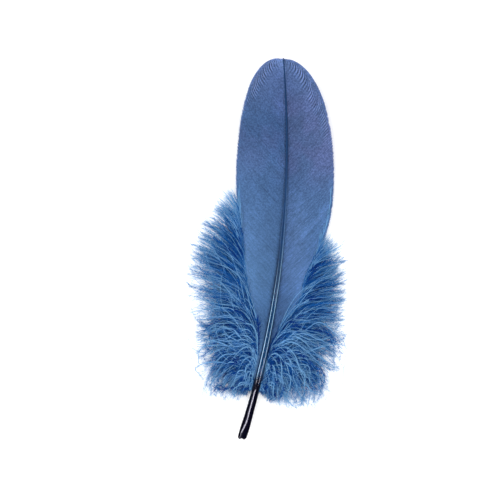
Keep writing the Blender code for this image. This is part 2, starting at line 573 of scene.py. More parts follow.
@dataclass(frozen=True)
class WebFinish:
    """Hooked barbs: hazy blue dye along the vane, with painted light and shade beside the shaft.

    Reaches are across the vane and bands and stops along it, both as its map has them.
    """

    name: str
    stops: tuple[tuple[float, Colour], ...]
    violet: Colour = (0.14, 0.165, 0.38)
    violet_band: Band = (0.6, 0.72, 0.82, 0.95)
    violet_share: float = 0.45
    # painted shade beside the shaft; the right vane sets a paler colour here, which is painted light
    beside: Colour = (0.06, 0.14, 0.3)
    painted_light_share: float = 0.3
    painted_light_reach: Range = (0.02, 0.15)
    painted_light_band: Band = (-1.0, -0.5, 0.45, 0.65)
    # painted light: paler near the shaft in the upper vane, darker out towards the margin
    inner_light: float = 0.0
    inner_reach: Ease = (0.1, 0.6, 1.0, -0.4)
    inner_start: Range = (0.6, 0.78)
    # painted sheen: the palest barbs, mostly the ripples' crests, blend toward this whitish blue
    painted_sheen: Colour = (0.3, 0.38, 0.62)
    painted_sheen_tones: Ease = (1.15, 1.7, 0.0, 0.4)
    cloud_scale: float = 75.0
    cloud_edge: Range = (0.38, 0.62)
    fine_scale: float = 1500.0
    fine_spread: Ease = (0.25, 0.75, -1.0, 1.0)
    fine_strength: Ease = (0.35, 0.8, 0.14, 0.3)
    broad_scale: float = 160.0
    broad_spread: Ease = (0.3, 0.7, 0.94, 1.06)
    streak: float = 0.08
    streak_scales: Range = (170.0, 9.0)
    streak_spread: Range = (0.3, 0.7)
    roughness: float = 0.6
    specular: float = 0.2

    def material(self) -> Material:
        """Blend the dye's colours and the painted light and shade by place on the vane, then mottle them.

        Returns:
            The web's material.
        """
        shader = Shader(self.name, self.roughness, self.specular)
        off, up = shader.chart(BAKE_MAP)
        number, tone = shader.chart(VALUE_MAP)
        # painted light and shade beside the shaft, blended over the dye's ramp
        beside = shader.span(off, *self.painted_light_reach, self.painted_light_share, 0)
        beside = shader.times(beside, shader.band(up, *self.painted_light_band))
        base = shader.mix(beside, shader.ramp(up, self.stops), self.beside)
        # painted light near the shaft, painted shade towards the margin, in the upper vane
        inner = shader.times(shader.span(off, *self.inner_reach), shader.span(up, *self.inner_start))
        inner = shader.plus(1.0, shader.times(inner, self.inner_light))
        clouds = shader.noise(shader.place(), self.cloud_scale, 3)
        clouds = shader.span(clouds, *self.cloud_edge, 0, self.violet_share)
        base = shader.mix(shader.times(clouds, shader.band(up, *self.violet_band)), base, self.violet)
        fine = shader.span(shader.noise(shader.place(), self.fine_scale), *self.fine_spread)
        fine = shader.plus(1.0, shader.times(fine, shader.span(up, *self.fine_strength)))
        broad = shader.span(shader.noise(shader.place(), self.broad_scale), *self.broad_spread)
        barbs = shader.vector(*map(shader.times, (number, off), self.streak_scales))
        streaks = shader.noise(barbs, 1.0)
        streaks = shader.span(streaks, *self.streak_spread, 1 - self.streak, 1 + self.streak)
        colour = shader.dim(base, fine, broad, streaks, inner, tone)
        # painted sheen on the palest barbs
        return shader.done(shader.mix(shader.span(tone, *self.painted_sheen_tones), colour, self.painted_sheen))


@dataclass(frozen=True)
class FluffFinish:
    """Loose down: deep blue to pale blue, by each strand's own tone and place along it."""

    deep: Colour = (0.001, 0.036, 0.27)
    middle: Colour = (0.005, 0.145, 0.51)
    pale: Colour = (0.22, 0.49, 0.8)
    middle_tone: float = 0.45
    root_light: Ease = (0.06, 0.3, 0.45, 0.0)
    end_light: Ease = (0.45, 0.95, 0.0, 0.7)
    roughness: float = 0.7
    specular: float = 0.15

    def material(self) -> Material:
        """Blend by tone, with painted light where the strand leaves the web, against the tuft's shade there,
        and paler towards its end, partly the thin ends' own paleness and partly painted light.

        Returns:
            The fluff's material.
        """
        shader = Shader("fluff", self.roughness, self.specular)
        along, tone = shader.chart(BAKE_MAP)
        # painted light at the strand's root; its end is paler, partly painted light
        light = shader.plus(shader.span(along, *self.root_light), shader.span(along, *self.end_light))
        stops = ((0.0, self.deep), (self.middle_tone, self.middle), (1.0, self.pale))
        return shader.done(shader.ramp(shader.plus(tone, light), stops))


@dataclass(frozen=True)
class FloorFinish:
    """A pale matt studio floor, lit a little from within as a light table is."""

    colour: Colour = (0.93, 0.93, 0.94)
    glow: float = 0.16
    roughness: float = 0.9
    specular: float = 0.1

    def material(self) -> Material:
        """A soft plain white.

        Returns:
            The floor's material.
        """
        shader = Shader("pale_floor", self.roughness, self.specular)
        shader.link(shader.surface, {"Emission Color": (1, 1, 1), "Emission Strength": self.glow})
        return shader.done(self.colour)


# --- Shaft ---


@dataclass(frozen=True)
class Shaft:
    """The horny shaft: round quill with a nicked, open end, then a grooved rachis to the tip.

    Upper_places are where the points of the section's upper side lie, as shares of its half width.
    Crowding sets the stations closer together towards the quill's end. The pit's points are depths
    in mm and shares of the rim.
    """

    form: FeatherForm
    upper_places: tuple[float, ...] = (0.0, 0.03, 0.14, 0.28, 0.38, 0.44, 0.5, 0.56, 0.64, 0.74, 0.86, 0.95)
    lower_points: int = 11
    stations: int = 236
    crowding: float = 1.15
    squareness: Knots = ((0, 2), (26, 2), (50, 2.5), (170, 2.7))
    groove_depths: Knots = (
        (0, 0), (20, 0), (23, 0.0), (26, 0.34), (34, 0.42), (62, 0.42), (95, 0.26), (125, 0.02), (170, 0),
    )
    groove_width: float = 0.44
    groove_power: float = 1.15
    nick_depth: float = 0.7 * MM
    nick_spread: float = math.radians(20)
    corner: float = 1.1 * MM
    corner_power: int = 4
    corner_run: float = 4.4 * MM
    pit: Knots = ((1.4, 0.3), (1.1, 0.55), (0.35, 0.68), (0.0, 0.84))

    def angles(self) -> Array:
        """Where the section's points are, as angles round it from the right.

        Returns:
            The angles in radians, rising.
        """
        right = np.arccos(np.array(self.upper_places) ** (max(power for _, power in self.squareness) / 2))
        below = np.linspace(math.pi, 2 * math.pi, self.lower_points + 1, endpoint=False)
        return np.concatenate([[0.0], right[::-1], math.pi - right[1:], below])

    def build(self, finish: Material) -> Object:
        """Carry the section along the shaft.

        The section is a superellipse, |x|^n + |z|^n = 1, with a V-shaped groove cut into its top.
        The mesh starts inside the quill's open end, comes out over the rim, whose sides are set
        back by the fourth power of their place across, and runs to the tip.

        Args:
            finish: the horn.

        Returns:
            The shaft.
        """
        form = self.form
        angle = self.angles()[None, :]
        y = form.length * np.linspace(0, 1, self.stations)[:, None] ** self.crowding
        power = 2 / smooth_through(self.squareness, y / MM)
        across = np.sign(np.cos(angle)) * np.abs(np.cos(angle)) ** power
        up = np.sign(np.sin(angle)) * np.abs(np.sin(angle)) ** power
        groove = np.maximum(1 - np.abs(across) / self.groove_width, 0) ** self.groove_power * (up > 0)
        groove = smooth_mm(self.groove_depths, y) * groove
        z = form.clearance(y) + (1 + up) * form.height(y) / 2 - groove
        nick = self.nick_depth * bell(angle - math.pi / 2, self.nick_spread)
        set_back = nick + self.corner * np.abs(across) ** self.corner_power
        y = y + set_back * np.maximum(1 - y / self.corner_run, 0)
        outer = form.place(Side.RIGHT, y, across * form.width(y) / 2, z)
        middle = outer[0].mean(axis=0)
        depths, shares = np.array(self.pit).T[..., None, None]
        inner = middle + (outer[0] - middle) * shares + depths * MM * np.array([0, 1, 0])
        sections = np.concatenate([inner, outer])
        round_share = np.arange(angle.size) / angle.size
        row_share = np.linspace(0, 1, len(sections))[:, None]
        inside = np.zeros((len(self.pit), angle.size))
        across = np.where(up >= 0, across, np.sign(across))
        along = np.stack([np.concatenate([inside, rows]) for rows in (across, y / form.length)], axis=-1)
        chart = np.stack(np.broadcast_arrays(round_share, row_share), axis=-1)
        made = piece("shaft_horn", tubes(sections[None], chart[None], along[None]), finish)
        self._close_chart(made, len(sections), angle.size)
        return made

    def _close_chart(self, obj: Object, rows: int, around: int) -> None:
        """Let the faces that close the section run on to 1 in the map, not back across it.

        The sides come first in the map, row by row, each with four corners of two values. The last
        one of a row closes it, with its second and third corners where the row began.

        Args:
            obj: the shaft.
            rows: how many sections it has.
            around: how many points a section has.
        """
        chart = obj.data.uv_layers[BAKE_MAP].uv
        values = np.empty(2 * len(chart), np.float32)
        chart.foreach_get("vector", values)
        sides = values[: 8 * (rows - 1) * around].reshape(rows - 1, around, 4, 2)
        sides[:, -1, 1:3, 0] = 1.0
        chart.foreach_set("vector", values)


# --- Vanes ---


@dataclass(frozen=True)
class VaneForm:
    """Outline and lie of one vane, and the way its barbs run.

    Places, half widths and turnings are in mm, angles in degrees.
    """

    form: FeatherForm
    side: Side
    widest: Range
    tip_power: float
    half_widths: Knots
    root_angles: Knots
    edge_angles: Knots
    turnings: Knots
    rim: float
    foot: float = 26 * MM
    camber: float = 3.0 * MM
    camber_width: float = 22.8 * MM
    wave_height: float = 0.2 * MM
    wave_pitch: float = 5.3 * MM
    calm_tip: float = 30 * MM
    root_height: float = 0.3
    least_flare: float = math.radians(8)
    probe: float = 0.5 * MM

    def full_width(self, y: Array) -> Array:
        """Half width of a vane that had no down: level below the widest place, round above.

        Args:
            y: distance from the quill's end.

        Returns:
            The half widths.
        """
        place, width = self.widest[0] * MM, self.widest[1] * MM
        share = np.clip((y - place) / (self.form.length - place), 0, 1)
        return width * (1 - share**self.tip_power) ** (1 / self.tip_power)

    def half_width(self, y: Array) -> Array:
        """Half width of the clean web: the margin above, the edge of the down below.

        Args:
            y: distance from the quill's end.

        Returns:
            The half widths.
        """
        place = self.widest[0] * MM
        below = smooth_mm(self.half_widths, np.minimum(y, place), level_end=True)
        return np.where(y > place, self.full_width(y), below)

    def margin(self, y: Array) -> Array:
        """The direction of the margin, as an angle in radians like the barbs' own."""
        probe = self.probe
        return np.arctan2(self.full_width(y + probe) - self.full_width(y - probe), 2 * probe)

    def gap(self, y: Array, off: Array) -> Array:
        """Distance in from the margin, square to it."""
        return (self.full_width(y) - off) * np.cos(self.margin(y))

    def heading(self, y: Array, off: Array) -> Array:
        """The barbs' angle, in radians.

        It is the root angle up to the turning band inside the rim, and goes to the edge angle by
        the share of the band gone through. At the margin it is never less than the margin's own
        direction and a little flare, so that every barb comes out of the vane. Near the tip the
        band is narrow, which bends the barbs into arcs.

        Args:
            y: distance from the quill's end.
            off: distance from the centreline.

        Returns:
            The angles.
        """
        edge = np.radians(smooth_through(self.edge_angles, y / MM))
        edge = np.maximum(edge, self.margin(y) + self.least_flare)
        root = np.radians(smooth_through(self.root_angles, y / MM))
        turning = smooth_mm(self.turnings, y)
        share = np.clip((turning - self.gap(y, off)) / (turning - self.rim), 0, 1)
        return root + (edge - root) * share

    def surface(self, y: Array, off: Array) -> Array:
        """Height of the web's middle surface: cambered across, with a faint wave at the margin.

        Args:
            y: distance from the quill's end.
            off: distance from the centreline.

        Returns:
            The heights.
        """
        share = off / self.camber_width
        root = self.form.clearance(y) + self.root_height * self.form.height(y)
        wave = self.wave_height * np.sin(y / self.wave_pitch + self.side.value) * np.clip(share, 0, 1) ** 2
        calm = smooth_step((self.form.length, self.form.length - self.calm_tip), y)
        return root + self.camber * share**2 + wave * calm


class BarbFlow:
    """Where each barb of a vane runs, as a table by root place and share of the barb's length.

    Barbs grow up to bare_tip from the shaft's end and stay top_gap short of it. They start at
    root_depth of the shaft's width from its centreline and come no nearer than least_off.
    """

    rows: int = 720
    columns: int = 64
    bare_tip: float = 0.6 * MM
    top_gap: float = 0.2 * MM
    root_depth: float = 0.3
    least_off: float = 0.1 * MM

    def __init__(self, vane: VaneForm, steps: int = 200, stride: float = 0.25 * MM) -> None:
        """Trace the barbs from their roots along the vane's heading until they leave the web.

        Args:
            vane: the vane's form.
            steps: how many strides a barb may take.
            stride: the length of a stride.
        """
        self.vane = vane
        self.first = vane.foot
        self.last = vane.form.length - self.bare_tip
        y = np.linspace(self.first, self.last, self.rows)
        top = vane.form.length - self.top_gap
        off = self.root_depth * vane.form.width(y)
        path = [np.stack([y, off], axis=-1)]
        for _ in range(steps):
            angle = vane.heading(y, off)
            y = y + stride * np.cos(angle)
            off = np.maximum(off + stride * np.sin(angle), self.least_off)
            path.append(np.stack([y, off], axis=-1))
        path = np.stack(path, axis=1)
        beyond = np.maximum(path[..., 1] - vane.half_width(path[..., 0]), path[..., 0] - top)
        last = np.argmax(beyond >= 0, axis=1)
        last = np.where((beyond < 0).all(axis=1), steps, np.maximum(last, 1))
        row = np.arange(self.rows)
        before, after = beyond[row, last - 1], beyond[row, last]
        whole = last - 1 + np.clip(before / np.minimum(before - after, -TINY), 0, 1)
        self.lengths = whole * stride
        at = np.linspace(0, 1, self.columns)[None, :] * whole[:, None]
        low, part = cell(at, steps + 1)
        self.table = between((path[row[:, None], low], path[row[:, None], low + 1]), part)

    def read(self, root: Array, t: Array) -> tuple[Array, Array]:
        """Blend the table for places on barbs.

        Args:
            root: where the barbs leave the shaft.
            t: shares of their length.

        Returns:
            The places' y and off.
        """
        row, past_row = cell(self.number(root) * (self.rows - 1), self.rows)
        column, past_column = cell(np.clip(t, 0, 1) * (self.columns - 1), self.columns)
        near, far = (
            between((self.table[i, column], self.table[i, column + 1]), past_column) for i in (row, row + 1)
        )
        found = between((near, far), past_row)
        return found[..., 0], found[..., 1]

    def number(self, root: Array) -> Array:
        """Root places as shares of the stretch that bears barbs."""
        return np.clip((root - self.first) / (self.last - self.first), 0, 1)

    def length(self, root: Array) -> Array:
        """Length of the barbs that start at root."""
        return np.interp(self.number(root), np.linspace(0, 1, self.rows), self.lengths)


@dataclass(frozen=True)
class Barbs:
    """The barbs of a vane as they lie.

    Roots, lengths and downy have a value a barb; t, the share of its length, narrow, the share of
    its width, gap, the distance in from the margin, and the crown's y and off have one a station;
    place, y and off have one a corner.
    """

    roots: Array
    lengths: Array
    downy: Array
    t: Array
    narrow: Array
    place: Array
    y: Array
    off: Array
    crown_y: Array
    crown_off: Array
    gap: Array


@dataclass(frozen=True)
class Mark:
    """A barb or a few that lie paler or darker than their neighbours.

    Root and width are in mm along the shaft, start and end are shares of the barb's length, and
    the mark eases in and out over start_ease and end_ease, counted from them.
    """

    root: float
    width: float
    start: float
    end: float
    strength: float
    start_ease: Range = (0.0, 0.15)
    end_ease: Range = (0.01, -0.1)

    def tone(self, barbs: Barbs) -> Array:
        """What it adds to the barbs' tone: a bell across them, eased along them.

        Args:
            barbs: the laid barbs.

        Returns:
            The tones to add, [barb, station].
        """
        across = bell(barbs.roots - self.root * MM, self.width * MM)[:, None]
        start = smooth_step(tuple(self.start + ease for ease in self.start_ease), barbs.t)
        end = smooth_step(tuple(self.end + ease for ease in self.end_ease), barbs.t)
        return self.strength * across * (start * end)


@dataclass(frozen=True)
class Vane:
    """One web of barbs, each a ribbon with a ridge along it, laid edge over edge.

    The profile across a barb is in shares of the spacing between barbs, with heights in shares of
    the ridge's height and of the web's thickness; crown is its top corner and edges its outermost.
    Body_stations is the share of the stations that lie before the barb's point. Points are how
    long that is: the least, what chance adds and what down adds. Places, points, depths, periods
    and gaps from the margin are in mm. Room is in shares of the spacing.
    """

    flow: BarbFlow
    seed: int
    ripple_places: Range
    ripple_depths: tuple[float, float, float]
    marks: tuple[Mark, ...]
    spacing: float = 0.4 * MM
    stations: int = 24
    body_stations: float = 0.75
    body_crowding: float = 1.8
    across: tuple[float, ...] = (-0.56, -0.17, 0.0, 0.17, 0.56, 0.0)
    ridge: tuple[float, ...] = (0, 0.25, 1, 0.25, 0, 0)
    web: tuple[float, ...] = (-0.2, 0.5, 0.5, 0.5, 0.6, -1.0)
    crown: int = 2
    edges: tuple[int, int] = (0, 4)
    downy_places: Range = (108, 86)
    points: tuple[float, float, float] = (0.7, 0.8, 2.4)
    point_shares: Range = (0.02, 0.6)
    least_width: float = 0.05
    unevenness: float = 0.5 * MM
    uneven_power: int = 3
    web_thickness: float = 0.1 * MM
    point_web: float = 0.4
    ridge_heights: Range = (0.24 * MM, 0.07 * MM)
    ridge_power: float = 0.6
    point_ridge: float = 0.3
    full_length: float = 14 * MM
    least_ridge: float = 0.25
    full_room: float = 0.55
    least_room: float = 0.08
    ripple_periods: Knots = ((26, 1.2), (118, 1.25), (138, 1.45), (150, 1.8), (166, 2.1))
    ripple_height: float = 0.12 * MM
    ripple_drift: float = 0.16
    ripple_edge: float = 0.8
    ripple_fade: float = 0.45
    ripple_calm: Range = (166.5, 160)
    ripple_least: float = 0.1
    ripple_growth: float = 1.5
    patch_sizes: Range = (1.9 * MM, 1.1 * MM)
    patch_drift: float = 3.0
    patch_depth: float = 0.34
    deepest_ripple: float = -0.7
    chance_tone: float = 0.05
    rim_places: Range = (128, 150)
    rim_gaps: Range = (1.5, 0.4)
    rim_tone: float = 0.2
    edge: Ease = (0.78, 0.96, 0.0, 0.2)
    outer: Ease = (0.4, 0.8, -0.04, 0.12)
    outer_places: Range = (112, 96)
    map_start: float = 20 * MM
    map_size: Range = (24 * MM, 151 * MM)

    def build(self, name: str, finish: Material) -> Object:
        """Make the vane of its laid barbs.

        Args:
            name: the piece's name.
            finish: the web's material.

        Returns:
            The vane.
        """
        rng = np.random.default_rng(self.seed)
        vane = self.flow.vane
        barbs = self._laid(rng)
        ripple = self._ripple(barbs, rng)
        tone = self._tone(barbs, ripple, rng)
        wide, long = self.map_size
        chart = np.stack([barbs.off / wide, (barbs.y - self.map_start) / long], axis=-1)
        number = self.flow.number(barbs.place)
        along = np.stack([number, np.broadcast_to(tone[..., None], number.shape)], axis=-1)
        points = vane.form.place(vane.side, barbs.y, barbs.off, self._heights(barbs, ripple))
        return piece(name, tubes(points, chart, along), finish, outward=-vane.side.value)

    def _laid(self, rng: Chance) -> Barbs:
        """Lay the barbs.

        A ribbon's corner is the flow read at the barb's root plus a share of the spacing, so
        neighbours follow each other all the way. Near its end a barb narrows to a point.

        Args:
            rng: the source of chance.

        Returns:
            The barbs.
        """
        flow = self.flow
        count = int((flow.last - flow.first) / self.spacing)
        roots = flow.first + (np.arange(count) + 0.5) * self.spacing
        lengths = flow.length(roots)
        downy = step_mm(self.downy_places, flow.read(roots, np.ones(count))[0])
        least, by_chance, by_down = self.points
        point = (least + by_chance * rng.random(count) + by_down * downy) * MM / lengths
        point = np.clip(point, *self.point_shares)[:, None]
        t = np.linspace(0, 1, self.stations)[None, :]
        body = self.body_stations
        inner = (1 - (1 - np.minimum(t / body, 1)) ** self.body_crowding) * (1 - point)
        t = np.where(t < body, inner, 1 - (1 - t) / (1 - body) * point)
        narrow = np.maximum(1 - np.clip(1 - (1 - t) / point, 0, 1) ** 2, self.least_width)
        t = t * (1 - self.unevenness * rng.random(count) ** self.uneven_power / lengths)[:, None]
        place = roots[:, None, None] + np.array(self.across) * self.spacing * narrow[..., None]
        y, off = flow.read(place, np.broadcast_to(t[..., None], place.shape))
        crown = y[..., self.crown], off[..., self.crown]
        return Barbs(roots, lengths, downy, t, narrow, place, y, off, *crown, flow.vane.gap(*crown))

    def _heights(self, barbs: Barbs, ripple: Array) -> Array:
        """Heights of the corners: the vane's surface, with the ribbons' profile and the ripples on it.

        Args:
            barbs: the laid barbs.
            ripple: the ripples, from -1 to 1.

        Returns:
            The heights.
        """
        room = np.clip(self._room(barbs) / (self.full_room * self.spacing), self.least_room, 1)
        ridge = between(self.ridge_heights, barbs.t**self.ridge_power)
        ridge = ridge * between((self.point_ridge, 1), barbs.narrow) * room
        ridge = ridge * np.clip(barbs.lengths / self.full_length, self.least_ridge, 1)[:, None]
        web = self.web_thickness * between((self.point_web, 1), barbs.narrow) * room
        profile = ridge[..., None] * np.array(self.ridge) + web[..., None] * np.array(self.web)
        return self.flow.vane.surface(barbs.y, barbs.off) + profile + self.ripple_height * ripple[..., None]

    def _room(self, barbs: Barbs) -> Array:
        """How wide the ribbons are, square to their run: they crowd together along the rim.

        Args:
            barbs: the laid barbs.

        Returns:
            The widths, [barb, station].
        """
        ahead = unit(np.stack([np.gradient(at, axis=1) for at in (barbs.crown_y, barbs.crown_off)], axis=-1))
        first, last = self.edges
        side_y, side_off = (at[..., last] - at[..., first] for at in (barbs.y, barbs.off))
        return np.abs(side_y * ahead[..., 1] - side_off * ahead[..., 0])

    def _ripple(self, barbs: Barbs, rng: Chance) -> Array:
        """Rise and fall from barb to barb, which makes the fingerprint of arcs near the tip.

        It is a cosine along the roots, whose period grows towards the tip, whose phase drifts and
        whose height wanders. It stays in a band just inside the smooth rim, which gets deeper and
        stronger towards the tip, and calms down in the last few barbs.

        Args:
            barbs: the laid barbs.
            rng: the source of chance.

        Returns:
            Heights from -1 to 1, [barb, station].
        """
        roots, gap = barbs.roots[:, None], barbs.gap
        drift = (np.cumsum(rng.standard_normal(len(roots))) * self.ripple_drift)[:, None]
        turns = np.cumsum(self.spacing / smooth_mm(self.ripple_periods, barbs.roots))[:, None]
        wave = np.cos(2 * math.pi * turns + drift)
        tall = step_mm(self.ripple_places, barbs.crown_y)
        rim, shallow, deep = self.ripple_depths
        depth = between((shallow, deep), tall) * MM
        aside, inward = self.patch_sizes
        patchy = self.patch_depth * np.sin(roots / aside + gap / inward + self.patch_drift * drift)
        patchy = 1 - self.patch_depth + patchy
        band = step_mm((rim, rim + self.ripple_edge), gap)
        band = band * smooth_step((depth, self.ripple_fade * depth), gap)
        calm = step_mm(self.ripple_calm, roots)
        return wave * patchy * band * calm * between((self.ripple_least, 1), tall**self.ripple_growth)

    def _tone(self, barbs: Barbs, ripple: Array, rng: Chance) -> Array:
        """How pale the barbs are, round 1: ripples, chance, marks, rim, downy ends and outer web.

        Args:
            barbs: the laid barbs.
            ripple: the ripples, from -1 to 1.
            rng: the source of chance.

        Returns:
            The tones, [barb, station].
        """
        chance = self.chance_tone * rng.standard_normal(len(barbs.roots))[:, None]
        # painted light and shade of the ripples: raised barbs paler, sunken ones darker
        tone = 1 + np.maximum(ripple, self.deepest_ripple) + chance
        tone = tone + sum(mark.tone(barbs) for mark in self.marks)
        rim = step_mm(self.rim_places, barbs.crown_y) * step_mm(self.rim_gaps, barbs.gap)
        tone = tone + self.rim_tone * rim
        tone = tone + barbs.downy[:, None] * eased(self.edge, barbs.t)
        share = barbs.crown_off / self.flow.vane.half_width(barbs.crown_y)
        return tone + eased(self.outer, share) * step_mm(self.outer_places, barbs.crown_y)


# --- Down ---


@dataclass(frozen=True)
class StrandKind:
    """One kind of strand in a tuft, and how many there are.

    Shares is the stretch of the tuft that it grows from, layers how high it lies, and reach how far
    it gets to the outline, each a range in shares. Loose is how far it strays from its neighbours,
    radius is in mm, tone is how pale it is, fuzz how thickly it is set with barbules, and rise how
    much further up the outline it points than its neighbours, which it crosses.
    """

    count: int
    shares: Range
    layers: Range
    reach: Range
    loose: float
    radius: float
    tone: float
    fuzz: float = 0.0
    rise: float = 0.0


@dataclass(frozen=True)
class Strands:
    """The strands of a tuft: paths [strand, station, (y, off, z)] and a value a strand of the rest.

    Share is where in the tuft it grows, and the rest are as in StrandKind, radius in metres.
    """

    paths: Array
    share: Array
    loose: Array
    radius: Array
    tone: Array
    fuzz: Array


STRAND_KINDS = (
    StrandKind(170, (0.0, 0.86), (0.0, 0.5), (0.55, 0.98), 0.35, 0.11, 0.0, 1.0),
    StrandKind(90, (0.0, 0.9), (0.4, 1.0), (0.55, 1.0), 0.4, 0.11, 0.05, 0.6),
    StrandKind(90, (0.0, 0.26), (0.0, 0.6), (0.55, 1.0), 0.7, 0.12, 0.0, 0.9),
    StrandKind(80, (0.0, 0.24), (0.2, 0.9), (0.3, 0.85), 1.3, 0.12, 0.15, 0.6),
    StrandKind(130, (0.0, 1.0), (0.2, 1.0), (0.85, 1.05), 0.35, 0.08, 0.4, 0.06),
    StrandKind(340, (0.22, 0.92), (0.5, 1.0), (0.3, 0.98), 0.25, 0.11, 0.3),
    StrandKind(70, (0.18, 0.96), (0.9, 1.0), (0.4, 1.0), 0.35, 0.14, 0.8),
    StrandKind(34, (0.06, 0.4), (0.9, 1.0), (0.5, 1.0), 0.5, 0.17, 1.0, 0.15, 0.15),
    StrandKind(48, (0.0, 0.26), (0.9, 1.0), (0.55, 1.0), 0.75, 0.32, 1.0, 0.3),
    StrandKind(60, (0.0, 0.26), (0.9, 1.0), (0.3, 1.0), 1.8, 0.13, 0.9),
    StrandKind(90, (0.0, 0.13), (0.2, 1.0), (0.85, 1.35), 0.7, 0.07, 0.7),
    StrandKind(50, (0.78, 1.0), (0.7, 1.0), (0.8, 1.2), 0.15, 0.14, 0.65, 0.05),
)
STRAYS = StrandKind(26, (1.0, 1.0), (1.0, 1.0), (1.0, 1.0), 0.6, 0.1, 0.9, 0.1)


@dataclass(frozen=True)
class BarbuleForm:
    """How barbules stand on their strand.

    Lengths and angles are knots by the strand's place in its tuft, in mm and degrees. Widths are in
    mm, for dark strands and pale ones. Foot and end say how much shorter barbules are near the
    strand's foot and end; tones are a share of the strand's, what chance adds and a constant.
    """

    lengths: Knots = ((0, 2.7), (0.35, 3.0), (0.6, 3.6), (0.8, 3.2), (1, 2.2))
    angles: Knots = ((0, 32), (0.35, 22), (0.6, 13), (1, 9))
    least_place: float = 0.03
    crowding: float = 0.62
    loose_lean: float = 10.0
    chance_lean: float = 9.0
    lift: float = -0.1
    chance_lift: float = 0.45
    sizes: Range = (0.5, 1.4)
    foot: Ease = (0, 0.12, 0.4, 1)
    end: Ease = (0.6, 1, 1, 0.65)
    widths: Range = (0.12, 0.035)
    end_width: float = 0.5
    tones: tuple[float, float, float] = (0.6, 0.35, -0.05)
    map_run: float = 0.94
    map_point: float = 0.05


